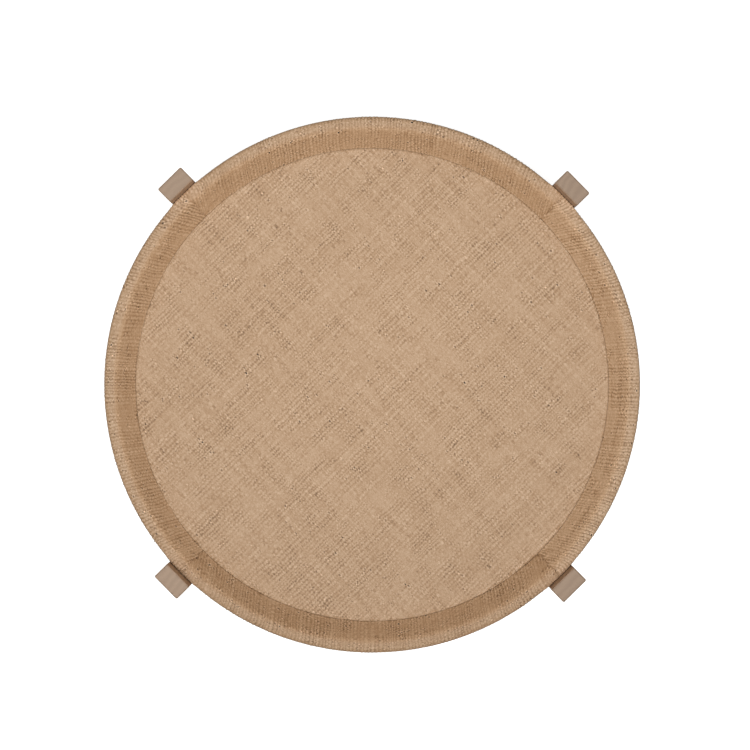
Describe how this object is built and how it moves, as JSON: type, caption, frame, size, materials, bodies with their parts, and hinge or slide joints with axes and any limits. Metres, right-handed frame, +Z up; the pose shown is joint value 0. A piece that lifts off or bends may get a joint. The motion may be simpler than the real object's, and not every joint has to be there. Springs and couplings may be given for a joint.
{
  "type": "round tray table",
  "caption": "Low round side table: a tray wrapped in woven raffia with a raised, sloping rim, notched into four square oak legs that rise past it, on crossed rails.",
  "frame": {"origin": "on the floor, under the middle of the tray", "axes": "+Z up; the legs stand on the diagonals between the X and Y axes"},
  "size_m": [0.61, 0.61, 0.56],
  "materials": {
    "raffia": "woven natural straw, matt with a low sheen",
    "oak": "weathered grey-brown oak, matt",
    "plywood": "bare plywood",
    "poplar": "bare sawn wood",
    "board": "thin board, dark stain",
    "steel": "zinc plated",
    "nylon": "moulded, dark"
  },
  "bodies": {
    "root": {"cross_rail_northeast": "oak", "cross_rail_northwest": "oak", "field_cloth": "raffia", "glide_nail_northeast": "steel", "glide_nail_northwest": "steel", "glide_nail_southeast": "steel", "glide_nail_southwest": "steel", "glide_northeast": "nylon", "glide_northwest": "nylon", "glide_southeast": "nylon", "glide_southwest": "nylon", "leg_northeast": "oak", "leg_northwest": "oak", "leg_southeast": "oak", "leg_southwest": "oak", "rim_cloth_east": "raffia", "rim_cloth_north": "raffia", "rim_cloth_south": "raffia", "rim_cloth_west": "raffia", "rim_core_northeast": "poplar", "rim_core_northwest": "poplar", "rim_core_southeast": "poplar", "rim_core_southwest": "poplar", "tray_backing": "board", "tray_panel": "plywood", "tray_screw_inner_northeast": "steel", "tray_screw_inner_northwest": "steel", "tray_screw_inner_southeast": "steel", "tray_screw_inner_southwest": "steel", "tray_screw_outer_northeast": "steel", "tray_screw_outer_northwest": "steel", "tray_screw_outer_southeast": "steel", "tray_screw_outer_southwest": "steel"}
  },
  "joints": []
}
